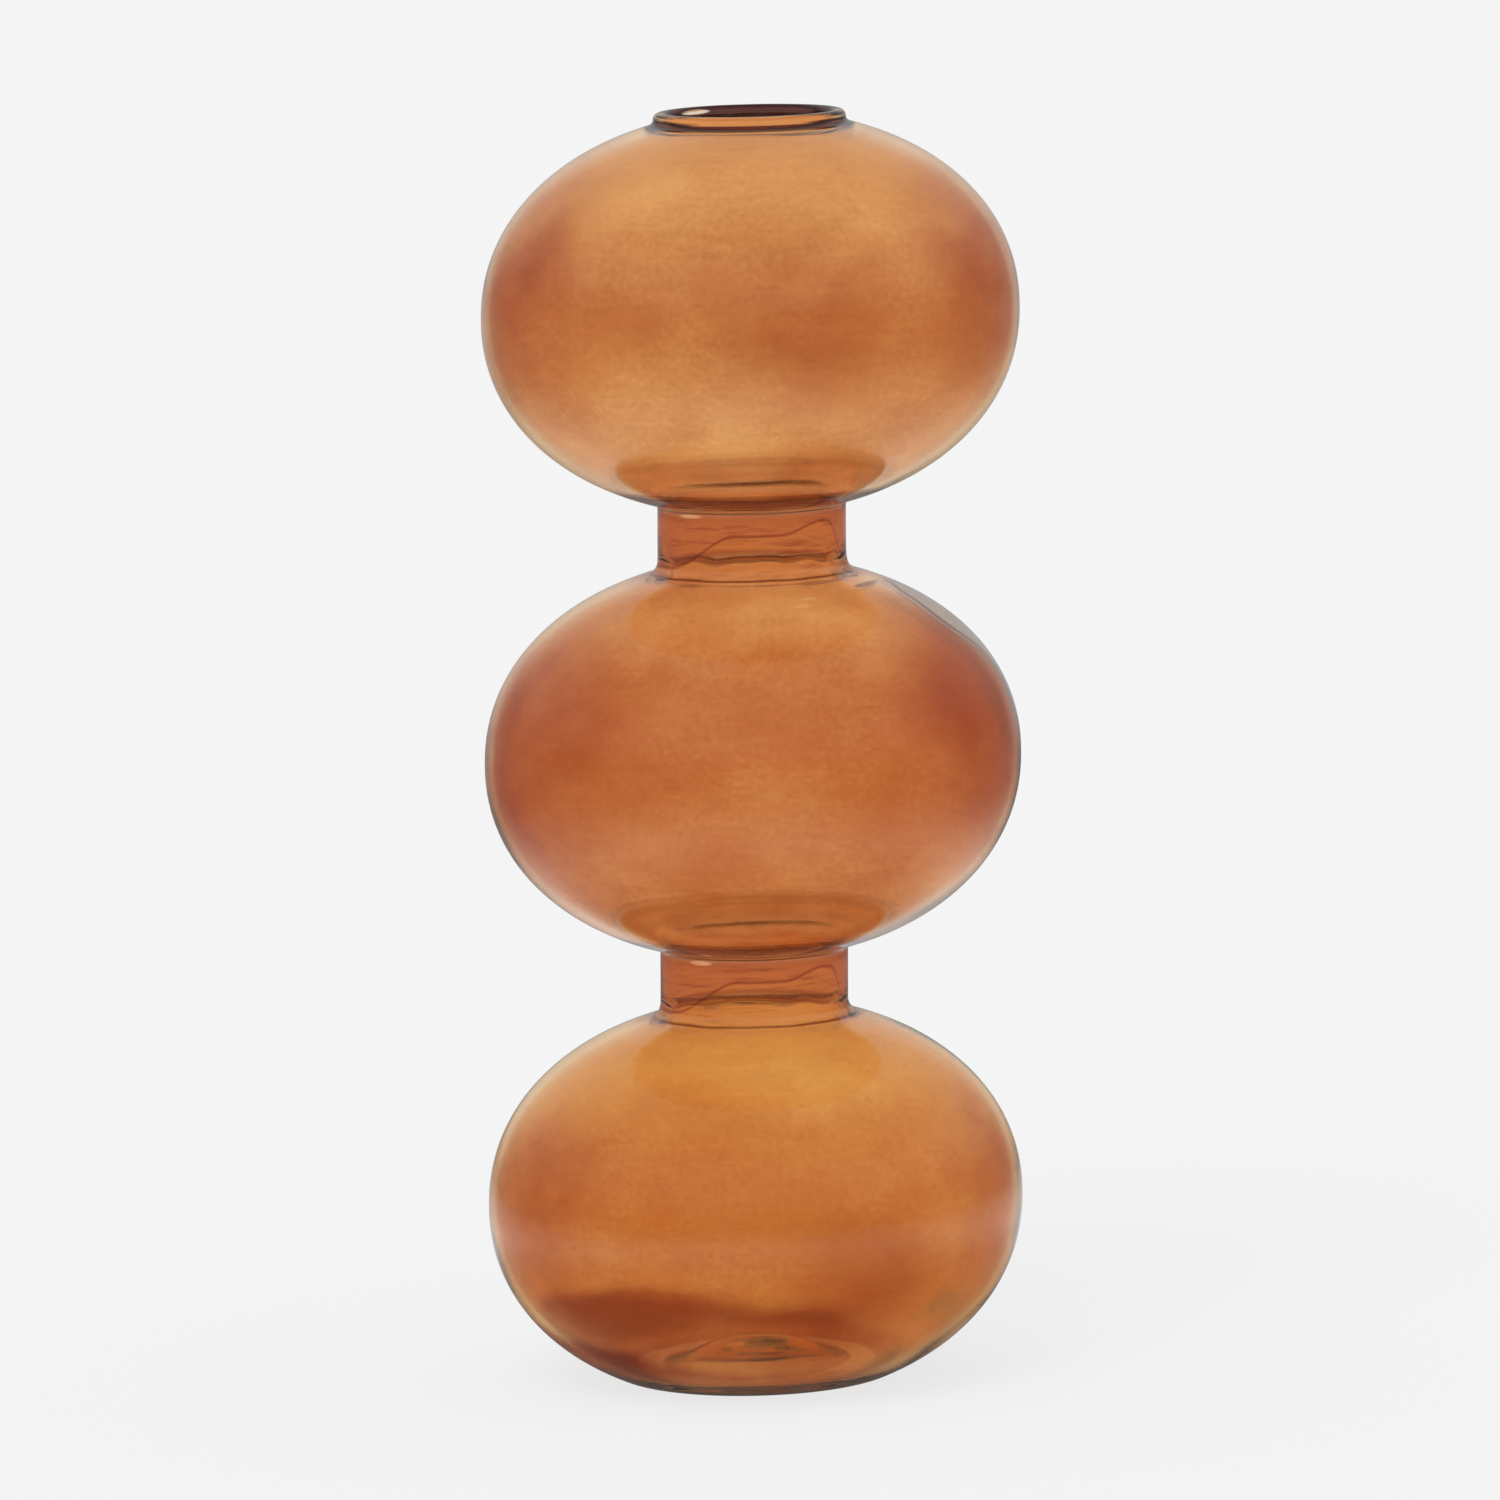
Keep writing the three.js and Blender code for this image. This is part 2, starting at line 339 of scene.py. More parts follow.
def joined(sections):
    """All the points of a run of sections, with the share of them that is each section's."""
    run, shares = [], {}
    for name, points in sections:
        start = len(run)
        if run and math.dist(run[-1], points[0]) < 1e-6:
            start -= 1
            points = points[1:]
        run.extend(points)
        shares[name] = (start, len(run))
    return run, shares


def grown(run, growth):
    """Places each profile point round the vase, in millimetres, moved by its growth."""
    rows = np.zeros((len(run), TURN_STEPS, 3))
    for index, (radius, height) in enumerate(run):
        before, after = run[max(index - 1, 0)], run[min(index + 1, len(run) - 1)]
        along = Vector((after[0] - before[0], after[1] - before[1])).normalized()
        move = 0 if radius == 0 else growth[index]
        reach = radius + along.y * move
        level = height - along.x * move + np.zeros(TURN_STEPS)
        rows[index, :, 0] = reach * SIDEWAYS + LEAN * (level - MIDDLE_CENTRE)
        rows[index, :, 1] = reach * BACKWARDS
        rows[index, :, 2] = level
    return rows


def row_normals(rows):
    """Normals that look out of the glass, for rows that run up its outside and down its inside."""
    up = np.zeros_like(rows)
    up[1:-1] = rows[2:] - rows[:-2]
    up[0], up[-1] = rows[1] - rows[0], rows[-1] - rows[-2]
    round_about = np.roll(rows, -1, axis=1) - np.roll(rows, 1, axis=1)
    normals = np.cross(round_about, up)
    normals[0], normals[-1] = normals[1].mean(axis=0), normals[-2].mean(axis=0)
    return normals / np.linalg.norm(normals, axis=2, keepdims=True)


outside_mouth, inside_mouth = mouth_skins()
outer_run, outer_share = joined(whole_skin(0, bowl(0, 0, FOOT_ROUNDING), outside_mouth))
inner_foot = bowl(WALL, FLOOR_CASING + LINING_WALL, FLOOR_ROUNDING)
inner_run, inner_share = joined(whole_skin(WALL, inner_foot, inside_mouth))
layer_run, layer_share = joined(whole_skin(CASING_WALL, bowl(CASING_WALL, FLOOR_CASING, FLOOR_ROUNDING)))

glass_run = outer_run + inner_run[-2::-1]
growth = [outside_growth(height) for _, height in outer_run]
growth += [inside_growth(height) for _, height in inner_run[-2::-1]]
glass_rows = grown(glass_run, growth)
glass_normals = row_normals(glass_rows)
layer_rows = grown(layer_run, [0] * len(layer_run))
layer_normals = row_normals(layer_rows)


def outside_of(part):
    """The rows and normals of a piece's outer skin, from the bottom up."""
    start, end = outer_share[part]
    return glass_rows[start:end], glass_normals[start:end]


def inside_of(part):
    """Those of its inner skin, from the top down."""
    start, end = inner_share[part]
    last = len(glass_run) - 1
    return glass_rows[last - end + 1 : last - start + 1], glass_normals[last - end + 1 : last - start + 1]


def layer_of(part, downwards):
    """Those of the skin between casing and lining."""
    start, end = layer_share[part]
    rows, normals = layer_rows[start:end], layer_normals[start:end]
    return (rows[::-1], normals[::-1]) if downwards else (rows, normals)


# Meshes

OUTER, JOINT, INNER = 0, 1, 2


def on_axis(row):
    return np.ptp(row[:, 0]) < 1e-6 and np.ptp(row[:, 1]) < 1e-6


def ringed(name, stretches, materials):
    """A closed solid from stretches of rows that follow on round its section, each with the material
    slot of its faces. The faces that lead from one stretch to the next are joints."""
    rows, normals, slots = [], [], []
    for (stretch_rows, stretch_normals), slot in stretches:
        if rows and np.allclose(rows[-1], stretch_rows[0]):
            rows.pop()
            normals.pop()
            slots.pop()
        rows.extend(stretch_rows)
        normals.extend(stretch_normals)
        slots += [slot] * (len(stretch_rows) - 1) + [JOINT]
    vertices, vertex_normals, starts = [], [], []
    for row, normal in zip(rows, normals):
        if on_axis(row):
            starts.append([len(vertices)] * TURN_STEPS)
            vertices.append(row[0] * MM)
            vertex_normals.append(normal[0])
            continue
        starts.append(list(range(len(vertices), len(vertices) + TURN_STEPS)))
        vertices.extend(row * MM)
        vertex_normals.extend(normal)
    faces, face_slots = [], []
    for band, slot in enumerate(slots):
        lower, upper = starts[band], starts[(band + 1) % len(starts)]
        if len(set(lower)) == 1 and len(set(upper)) == 1:
            continue
        for step in range(TURN_STEPS):
            ahead = (step + 1) % TURN_STEPS
            corners = (lower[step], lower[ahead], upper[ahead], upper[step])
            faces.append([c for i, c in enumerate(corners) if c not in corners[:i]])
            face_slots.append(slot)
    mesh = bpy.data.meshes.new(name)
    mesh.from_pydata([tuple(v) for v in vertices], [], faces)
    for material in materials:
        mesh.materials.append(material)
    mesh.polygons.foreach_set("material_index", face_slots)
    mesh.polygons.foreach_set("use_smooth", [True] * len(faces))
    mesh.update()
    mesh.normals_split_custom_set_from_vertices([tuple(n) for n in vertex_normals])
    piece = bpy.data.objects.new(name, mesh)
    bpy.context.scene.collection.objects.link(piece)
    return piece


def shell(name, outside, inside, outer_slot, inner_slot, materials):
    """A closed wall between a skin that runs up and one that runs down."""
    return ringed(name, [(outside, outer_slot), (inside, inner_slot)], materials)


# Materials


def new_material(name):
    material = bpy.data.materials.new(name)
    material.use_nodes = True
    material.node_tree.nodes.clear()
    return material


class Nodes:
    """A short way to add and join shader nodes."""

    def __init__(self, tree):
        self.tree = tree

    def add(self, kind, **values):
        node = self.tree.nodes.new(kind)
        for key, value in values.items():
            setattr(node, key, value)
        return node

    def join(self, source, target):
        if isinstance(source, (int, float)):
            target.default_value = source
        elif isinstance(source, tuple):
            target.default_value = (*source, 1) if target.type == "RGBA" else source
        else:
            self.tree.links.new(source, target)

    def math(self, operation, a, b=0.0, clamp=False):
        node = self.add("ShaderNodeMath", operation=operation, use_clamp=clamp)
        self.join(a, node.inputs[0])
        self.join(b, node.inputs[1])
        return node.outputs[0]

    def times(self, a, b, clamp=False):
        return self.math("MULTIPLY", a, b, clamp)

    def plus(self, a, b, clamp=False):
        return self.math("ADD", a, b, clamp)

    def minus(self, a, b):
        return self.math("SUBTRACT", a, b)

    def size_of(self, a):
        return self.math("ABSOLUTE", a)

    def clamped(self, a):
        return self.plus(a, 0.0, clamp=True)

    def span(self, value, low, high, to_low=0.0, to_high=1.0):
        """A smooth change from one number to another as a value goes from low to high."""
        node = self.add("ShaderNodeMapRange", interpolation_type="SMOOTHSTEP")
        for key, number in zip(("From Min", "From Max", "To Min", "To Max"), (low, high, to_low, to_high)):
            node.inputs[key].default_value = number
        self.join(value, node.inputs["Value"])
        return node.outputs["Result"]

    def hump(self, value, centre, reach):
        """1 at the centre and 0 from reach on."""
        return self.span(self.size_of(self.minus(value, centre)), 0.0, reach, 1.0, 0.0)

    def plateau(self, value, centre, reach, steepness):
        """A hump with a flat top, which gets wider with steepness."""
        return self.times(self.hump(value, centre, reach), steepness, clamp=True)

    def noise(self, vector, scale, detail, roughness=0.5):
        node = self.add("ShaderNodeTexNoise")
        for key, number in (("Scale", scale), ("Detail", detail), ("Roughness", roughness)):
            node.inputs[key].default_value = number
        self.join(vector, node.inputs["Vector"])
        return node.outputs["Fac"]

    def stretched(self, vector, scale, offset=(0, 0, 0)):
        node = self.add("ShaderNodeMapping")
        node.inputs["Scale"].default_value = scale
        node.inputs["Location"].default_value = offset
        self.join(vector, node.inputs["Vector"])
        return node.outputs["Vector"]

    def blend(self, factor, first, second, mode="MIX"):
        node = self.add("ShaderNodeMix", data_type="RGBA", blend_type=mode)
        for index, value in ((0, factor), (6, first), (7, second)):
            self.join(value, node.inputs[index])
        return node.outputs[2]


# Colours of one skin. Light from behind crosses each of the two skins twice.
PALE_AMBER = (0.95, 0.67, 0.39)
DEEP_AMBER = (0.73, 0.385, 0.175)
PALE_RED = (0.93, 0.64, 0.37)
DEEP_RED = (0.73, 0.35, 0.15)
PALE_GOLD = (0.94, 0.65, 0.33)
DEEP_GOLD = (0.76, 0.38, 0.14)
PATCH_RED = (0.55, 0.19, 0.08)
NECK_PINK = (0.76, 0.39, 0.205)
NECK_ORANGE = (0.80, 0.44, 0.20)
NECK_DARK = (0.42, 0.12, 0.06)
BASE_SHADOW_RED = (0.42, 0.11, 0.03)
SOLE_AMBER = (0.60, 0.20, 0.06)
SCAR_DARK = (0.02, 0.006, 0.004)
SCAR_RED = (0.16, 0.04, 0.02)
LIP_SHADE_BURGUNDY = (0.012, 0.002, 0.003)
LIP_GOLD = (0.85, 0.50, 0.25)
CREASE_SHADE = (0.03, 0.004, 0.004)
RING_SHADE = (0.12, 0.018, 0.006)
RING_WARM = (0.80, 0.22, 0.09)
CLEAR = (0.42, 0.36, 0.30)
STREAK_PURPLE = (0.09, 0.035, 0.04)
GLINT = (1.0, 0.80, 0.58)
SPARKLE = (0.85, 0.83, 0.90)
BARE_SKIN = (0.97, 0.95, 0.93)

# Noise: its middle range, and the scale of its fine grain
NOISE_MIDDLE = (0.3, 0.7)
GRAIN_SCALE = 700

# Share by which light that crosses the wall at a slant is tinted twice
SLANT = 0.4

# Levels in millimetres at which each bubble is deepest, with the depth of colour that is left under them
DEEPEST_LEVELS = ((TOP_CENTRE - 4, 0.2), (MIDDLE_CENTRE, 0.5), (BOTTOM_CENTRE - 4, 0.5))
DEEPEST = 0.85
FADE_ABOVE = (6, 38)
FADE_BELOW = (-34, -2)
BUBBLE_END = (-54, -48)
CLOUD_DEPTH = 0.45
STREAK_DEPTH = 0.1
STREAK_RANGE = (0.25, 0.75)
GRAIN_DEPTH = 0.18
NEXT_BUBBLE = 8

# Redder patches: place across, towards the back and up, reach and strength, in millimetres
PATCHES = (
    (54, -22, TOP_CENTRE + 16, 36, 1.15),
    (-52, -26, TOP_CENTRE + 14, 38, 0.9),
    (10, -58, TOP_CENTRE - 4, 22, 0.45),
    (54, -20, MIDDLE_CENTRE + 11, 44, 1.5),
    (-50, -26, MIDDLE_CENTRE + 7, 40, 1.2),
    (-48, -34, BOTTOM_CENTRE + 5, 34, 0.7),
    (52, -24, BOTTOM_CENTRE + 7, 34, 0.8),
    (26, -52, BOTTOM_CENTRE - 10, 26, 0.6),
)
PATCH_CLOUDING = (0.5, 1.3)

# Painted highlights, small bright ovals in front: place across and up, and half sizes
GLINTS = (
    (-14.4, UPPER_NECK + 6.7, 3.0, 0.6),
    (-12.6, LOWER_NECK + 6.6, 3.0, 0.6),
    (13.1, MIDDLE_CENTRE + 40.9, 2.2, 0.4),
    (11.2, MIDDLE_CENTRE + 39.6, 2.4, 0.4),
)

# The arch in front on each neck: its left flank, its crest and its right flank, in millimetres
ARCH_LEFT = (-20, -4, -6.0, 2.2)
ARCH_CREST = (16, 9)
ARCH_CREST_RISE = 2.6
ARCH_RIGHT = (18, 21, 0.0, -7.0)
ARCH_LINE = 0.6
NECK_END = (12, 20, 1.0, 0.0)
# Painted shade under a neck's top and at the far side of its foot: heights over the neck's middle and reach
NECK_TOP_SHADE = (8.0, 4.5)
NECK_FAR_ARC = (-7.2, 2.2)

# Painted shade at the fused rings, in millimetres: radii, and heights over a neck's end as centre and reach
UNDERSIDE = (3, 8)
UNDER_BAND = (24.3, 34.4)
UNDER_ARCS = (32.6, 35.2)
UNDER_CORNER = (-0.1, 0.45)
WARM_RADII = (23.8, 33.5)
WARM_RINGS = ((MIDDLE_CENTRE, 0.08), (TOP_CENTRE, 0.3))
FOOT = (-2, 6)
FOOT_LINE = (23.9, 0.8)
FOOT_ARC = (24.0, 6.5)
FOOT_ARC_HEIGHT = (-2.0, 3.4)

# The dark base, thick glass with a painted shadow seen through it: how far its edge tilts and bends down to
# the right, and where it fades, in millimetres
BASE_TILT = -0.11
BASE_BEND = 0.05
BASE_EDGE = (5.8, 8.6)
BASE_SOFTNESS = (-2.5, 2.0)
BASE_LIT = (2.5, 6.0, 0.0, 0.55)
BASE_LIT_SIDE = (-30, -5)
BASE_RIGHT_END = (16, 34, 1.0, 0.1)
BASE_MIDDLE = (8, 32, 0.4, 1.0)
BASE_FRONT = (-12, 12, 0.6, 1.0)
BASE_LEFT = (-10, -30, 0.0, 0.4)
SOLE_HEIGHT = (5.0, 2.0)
SOLE_RADII = (20, 26, 0.5, 0.9)

# The grey places at the right of the middle and the bottom bubble, in millimetres
GREY_BACK = 6.0
GREY_HALF_WIDTH = 12.5
GREY_BULGE = (33, 11)
GREY_BULGE_WIDTH = 7.5
GREY_LOW_END = (-6, 11)
GREY_HIGH_END = (46, 39)
GREY_FRONT_EDGE = (0.8, -0.8)
GREY_BACK_EDGE = (7.0, -1.0)
GREY_SIDE = (28, 34)
GREY_RAGGEDNESS = 5.0
GREY_FOOT = (11, 6)
GREY_FOOT_SIDE = (36, 42)
GREY_FOOT_HALF_WIDTH = (20, 12)
GREY_LINE = (0.5, 1.6)
PURPLE_STREAK = ((26.6, MIDDLE_CENTRE + 42.2), (3.6, 0.4))

# The mouth, in millimetres
CREASE_REACH = 2.2
CREASE_OFFSET = 0.6
# Painted highlight on the back of the lip: place across and up, and half sizes
GLEAM = ((-12.8, MOUTH_LEVEL + 1.25), (3.8, 0.65))


def vase_fields(nodes):
    """Millimetres along the leaning axis: up, across to the right, towards the back and out."""
    place = nodes.add("ShaderNodeTexCoord").outputs["Object"]
    split = nodes.add("ShaderNodeSeparateXYZ")
    nodes.join(place, split.inputs[0])
    height = nodes.times(split.outputs[2], 1 / MM)
    lean = nodes.times(nodes.minus(height, MIDDLE_CENTRE), LEAN)
    across = nodes.minus(nodes.times(split.outputs[0], 1 / MM), lean)
    back = nodes.times(split.outputs[1], 1 / MM)
    out = nodes.math("SQRT", nodes.plus(nodes.times(across, across), nodes.times(back, back)))
    return place, height, across, back, out


def near(nodes, place, spot, reach, strength):
    """Strength at a spot given in millimetres, fading to nothing at reach."""
    across, back, height = spot
    apart = nodes.add("ShaderNodeVectorMath", operation="DISTANCE")
    nodes.join(place, apart.inputs[0])
    across += LEAN * (height - MIDDLE_CENTRE)
    apart.inputs[1].default_value = (across * MM, back * MM, height * MM)
    return nodes.span(apart.outputs["Value"], 0.1 * reach * MM, reach * MM, strength, 0.0)


def oval(nodes, across, height, spot, sizes):
    """1 inside an upright oval round a spot, given by its place and half sizes across and up."""
    aside = nodes.times(nodes.minus(across, spot[0]), 1 / sizes[0])
    above = nodes.times(nodes.minus(height, spot[1]), 1 / sizes[1])
    off = nodes.math("SQRT", nodes.plus(nodes.times(aside, aside), nodes.times(above, above)))
    return nodes.span(off, 1.0, 0.6)


def bubble_colour(nodes, place, height, cloud, streak):
    """Amber that is deepest round the middle of each bubble, in soft clouds, level streaks and grain."""
    grain = nodes.noise(place, GRAIN_SCALE, 3, 0.7)
    depth = 0.0
    for level, low_depth in DEEPEST_LEVELS:
        rise = nodes.minus(height, level)
        depth = nodes.plus(depth, nodes.span(rise, *FADE_ABOVE, DEEPEST, 0.0))
        depth = nodes.plus(depth, nodes.span(rise, *FADE_BELOW, low_depth - DEEPEST, 0.0))
        depth = nodes.plus(depth, nodes.span(rise, *BUBBLE_END, -low_depth, 0.0))
    depth = nodes.plus(depth, nodes.span(cloud, *NOISE_MIDDLE, -CLOUD_DEPTH, CLOUD_DEPTH))
    depth = nodes.plus(depth, nodes.span(streak, *STREAK_RANGE, -STREAK_DEPTH, STREAK_DEPTH))
    depth = nodes.plus(depth, nodes.span(grain, *NOISE_MIDDLE, -GRAIN_DEPTH, GRAIN_DEPTH))
    in_upper = nodes.span(height, UPPER_NECK - NEXT_BUBBLE, UPPER_NECK + NEXT_BUBBLE)
    in_lower = nodes.span(height, LOWER_NECK + NEXT_BUBBLE, LOWER_NECK - NEXT_BUBBLE)
    pale = nodes.blend(in_upper, nodes.blend(in_lower, PALE_RED, PALE_GOLD), PALE_AMBER)
    deep = nodes.blend(in_upper, nodes.blend(in_lower, DEEP_RED, DEEP_GOLD), DEEP_AMBER)
    colour = nodes.blend(nodes.clamped(depth), pale, deep)
    patch = 0.0
    for *spot, reach, strength in PATCHES:
        patch = nodes.plus(patch, near(nodes, place, spot, reach, strength))
    patch = nodes.times(patch, nodes.span(cloud, *NOISE_MIDDLE, *PATCH_CLOUDING))
    return nodes.blend(nodes.clamped(patch), colour, PATCH_RED)


def neck_colour(nodes, height, across, back, streak):
    """Pinkish amber over orange, with an uneven arch between them in front, painted shade under the neck's
    top, a dark arc of painted shade at the far side of its foot, and drawn-out dark streaks."""
    crest = nodes.times(nodes.hump(across, *ARCH_CREST), ARCH_CREST_RISE)
    arch = nodes.plus(nodes.span(across, *ARCH_LEFT), crest)
    arch = nodes.plus(arch, nodes.span(across, *ARCH_RIGHT))
    front = nodes.span(back, 4, -4)
    colour = NECK_PINK
    for level in (UPPER_NECK, LOWER_NECK):
        rise = nodes.minus(height, level)
        over = nodes.minus(rise, arch)
        here = nodes.times(front, nodes.span(nodes.size_of(rise), *NECK_END))
        colour = nodes.blend(nodes.times(here, nodes.span(over, -0.3, 0.3, 1.0, 0.0)), colour, NECK_ORANGE)
        arch_line = nodes.times(nodes.hump(over, 0.0, ARCH_LINE), 0.8)
        colour = nodes.blend(nodes.times(here, arch_line), colour, NECK_DARK)
        shade_height, shade_reach = NECK_TOP_SHADE
        shade = nodes.hump(height, level + shade_height, shade_reach)
        colour = nodes.blend(shade, colour, nodes.blend(0.4, colour, NECK_DARK))
        arc_height, arc_reach = NECK_FAR_ARC
        far_arc = nodes.plateau(height, level + arc_height, arc_reach, 1.5)
        colour = nodes.blend(nodes.times(far_arc, nodes.span(back, -6, 6, 0.0, 0.9)), colour, NECK_DARK)
    return nodes.blend(nodes.span(streak, 0.5, 0.78, 0.0, 0.7), colour, NECK_DARK)


def underside(nodes, height, centre):
    """1 on the underside of a bubble, close to the neck that it stands on."""
    offset, reach = UNDERSIDE
    return nodes.plateau(height, centre - NECK_START + offset, reach, 3.0)


def ring_shade_marks(nodes, height, back, out, outside):
    """How dark the fused rings look: painted shade where their thick glass bends the light away. Under a
    bubble it is a broad band, darkest in front, with two arcs behind and a line at the corner. Round a neck's
    foot it is a line in front, with an arc behind."""
    front, behind = nodes.span(back, 6, -12), nodes.span(back, -8, 14)
    ring_shade = 0.0
    for centre in (MIDDLE_CENTRE, TOP_CENTRE):
        inner_edge = nodes.span(out, UNDER_BAND[0] - 0.4, UNDER_BAND[0] + 0.4)
        outer_edge = nodes.span(out, UNDER_BAND[1] + 0.5, UNDER_BAND[1] - 0.5)
        band = nodes.times(nodes.times(inner_edge, nodes.span(back, 16, -26, 0.2, 1.0)), outer_edge)
        arcs = nodes.plus(*(nodes.hump(out, radius, 1.0) for radius in UNDER_ARCS))
        offset, reach = UNDER_CORNER
        corner = nodes.hump(height, centre - NECK_START + offset, reach)
        corner = nodes.times(corner, nodes.times(front, 0.7))
        shape = nodes.plus(band, nodes.times(arcs, nodes.times(behind, 0.3)))
        shape = nodes.times(underside(nodes, height, centre), shape)
        ring_shade = nodes.plus(ring_shade, nodes.plus(shape, corner))
    for centre in (BOTTOM_CENTRE, MIDDLE_CENTRE):
        level = centre + NECK_START
        foot = nodes.plateau(height, level + FOOT[0], FOOT[1], 3.0)
        line = nodes.times(nodes.hump(out, *FOOT_LINE), nodes.times(front, 1.2 if outside else 0.0))
        arc = nodes.plateau(height, level + FOOT_ARC_HEIGHT[0], FOOT_ARC_HEIGHT[1], 1.6)
        arc = nodes.times(arc, nodes.plateau(out, *FOOT_ARC, 1.6))
        shape = nodes.plus(line, nodes.times(arc, nodes.times(behind, 0.55)))
        ring_shade = nodes.plus(ring_shade, nodes.times(foot, shape))
    return ring_shade


def ring_warmth(nodes, height, out):
    """How far the underside round a neck's top is reddened."""
    warmth = 0.0
    for centre, strength in WARM_RINGS:
        warmth = nodes.plus(warmth, nodes.times(underside(nodes, height, centre), strength))
    inner, outer = WARM_RADII
    ring = nodes.times(nodes.span(out, inner - 1.0, inner), nodes.span(out, outer + 1.5, outer))
    return nodes.times(warmth, ring)


def base_shadow_depth(nodes, height, across, back, out, cloud):
    """How far the thick base is reddened and darkened: the thick glass's own deeper colour, and a painted
    shadow of the floor seen through it, under an edge that slopes down to the right.
    """
    edge = nodes.plus(nodes.times(across, BASE_TILT), nodes.times(nodes.size_of(across), BASE_BEND))
    edge = nodes.plus(edge, nodes.span(cloud, *NOISE_MIDDLE, *BASE_EDGE))
    under_edge = nodes.minus(edge, height)
    lit = nodes.times(nodes.span(across, *BASE_LIT_SIDE), nodes.span(under_edge, *BASE_LIT))
    base = nodes.times(nodes.span(under_edge, *BASE_SOFTNESS), nodes.minus(1.0, lit))
    base = nodes.times(base, nodes.span(across, *BASE_RIGHT_END))
    base = nodes.times(base, nodes.span(out, *BASE_MIDDLE))
    sides = nodes.plus(nodes.span(back, *BASE_FRONT), nodes.span(across, *BASE_LEFT))
    return nodes.clamped(nodes.times(base, sides))


def tint(nodes, seed, outside):
    """The colour of a skin: its bubbles and necks, painted shade at the fused rings between them, and the
    thick base with a painted shadow seen through it. The necks are coloured on the outside alone."""
    place, height, across, back, out = vase_fields(nodes)
    cloud = nodes.noise(nodes.stretched(place, (1, 1, 1.3), seed), 24, 4, 0.55)
    streak = nodes.noise(nodes.stretched(place, (5, 5, 60), seed), 14, 3, 0.65)
    colour = bubble_colour(nodes, place, height, cloud, streak)
    neck = nodes.plus(nodes.hump(height, UPPER_NECK, 13), nodes.hump(height, LOWER_NECK, 13))
    neck = nodes.times(nodes.times(neck, 1.8, clamp=True), nodes.span(out, NECK_RADIUS + 1, 34, 1.0, 0.0))
    neck_skin = BARE_SKIN
    if outside:
        neck_skin = neck_colour(nodes, height, across, back, streak)
        neck_skin = nodes.blend(1.0, neck_skin, neck_skin, "MULTIPLY")
    colour = nodes.blend(neck, colour, neck_skin)
    colour = nodes.blend(ring_warmth(nodes, height, out), colour, RING_WARM)
    # Painted shade at the fused rings
    ring_shade = nodes.times(ring_shade_marks(nodes, height, back, out, outside), nodes.span(cloud, 0.3, 0.6, 0.75, 1.0))
    colour = nodes.blend(nodes.clamped(ring_shade), colour, RING_SHADE)
    # Painted shadow seen through the thick base, over its deeper colour
    colour = nodes.blend(base_shadow_depth(nodes, height, across, back, out, cloud), colour, BASE_SHADOW_RED)
    sole = nodes.times(nodes.span(height, *SOLE_HEIGHT), nodes.span(out, *SOLE_RADII))
    colour = nodes.blend(sole, colour, SOLE_AMBER)
    facing = nodes.add("ShaderNodeLayerWeight").outputs["Facing"]
    colour = nodes.blend(nodes.times(facing, SLANT), colour, colour, "MULTIPLY")
    return colour, place, height, across, back, out


def glass_shader(nodes, colour, roughness, wave_strength, place):
    """Glass of a colour, with the faint waviness of blown walls."""
    shader = nodes.add("ShaderNodeBsdfPrincipled")
    shader.inputs["Transmission Weight"].default_value = 1.0
    shader.inputs["IOR"].default_value = GLASS_IOR
    shader.inputs["Roughness"].default_value = roughness
    nodes.join(colour, shader.inputs["Base Color"])
    swell = nodes.noise(nodes.stretched(place, (1, 1, 2.2)), 22, 1.5)
    relief = nodes.add("ShaderNodeBump")
    relief.inputs["Strength"].default_value = wave_strength
    relief.inputs["Distance"].default_value = 0.002
    nodes.join(swell, relief.inputs["Height"])
    nodes.join(relief.outputs[0], shader.inputs["Normal"])
    output = nodes.add("ShaderNodeOutputMaterial")
    nodes.join(shader.outputs[0], output.inputs["Surface"])
    return shader


def grey_places(nodes, colour, place, height, across, back):
    """The grey glass at the right of the middle bubble's shoulder, with a dark line along its front, and the
    grey glass at the right of the foot."""
    rise = nodes.minus(height, MIDDLE_CENTRE)
    half_width = nodes.plus(nodes.times(nodes.hump(rise, *GREY_BULGE), GREY_BULGE_WIDTH), GREY_HALF_WIDTH)
    ends = nodes.times(nodes.span(rise, *GREY_LOW_END), nodes.span(rise, *GREY_HIGH_END))
    half_width = nodes.times(half_width, ends)
    ragged = nodes.times(nodes.minus(nodes.noise(place, 130, 2), 0.5), GREY_RAGGEDNESS)
    aside = nodes.minus(back, GREY_BACK)
    front_edge = nodes.minus(nodes.times(aside, -1.0), half_width)
    back_edge = nodes.minus(nodes.plus(aside, ragged), half_width)
    shoulder = nodes.times(nodes.span(front_edge, *GREY_FRONT_EDGE), nodes.span(back_edge, *GREY_BACK_EDGE))
    side = nodes.span(across, *GREY_SIDE)
    shoulder = nodes.times(shoulder, nodes.times(side, nodes.span(half_width, 1.0, 3.0)))
    foot = nodes.times(nodes.hump(height, *GREY_FOOT), nodes.span(across, *GREY_FOOT_SIDE))
    foot_width = nodes.size_of(nodes.plus(aside, ragged))
    foot = nodes.times(foot, nodes.span(foot_width, *GREY_FOOT_HALF_WIDTH))
    colour = nodes.blend(nodes.plus(shoulder, foot, clamp=True), colour, CLEAR)
    line = nodes.times(nodes.hump(front_edge, *GREY_LINE), nodes.span(half_width, 2.0, 9.0, 0.0, 2.0))
    streak = nodes.times(oval(nodes, across, height, *PURPLE_STREAK), nodes.span(back, -6, -9, 0.0, 0.9))
    line = nodes.plus(nodes.times(line, side), streak)
    return nodes.blend(nodes.clamped(line), colour, STREAK_PURPLE)


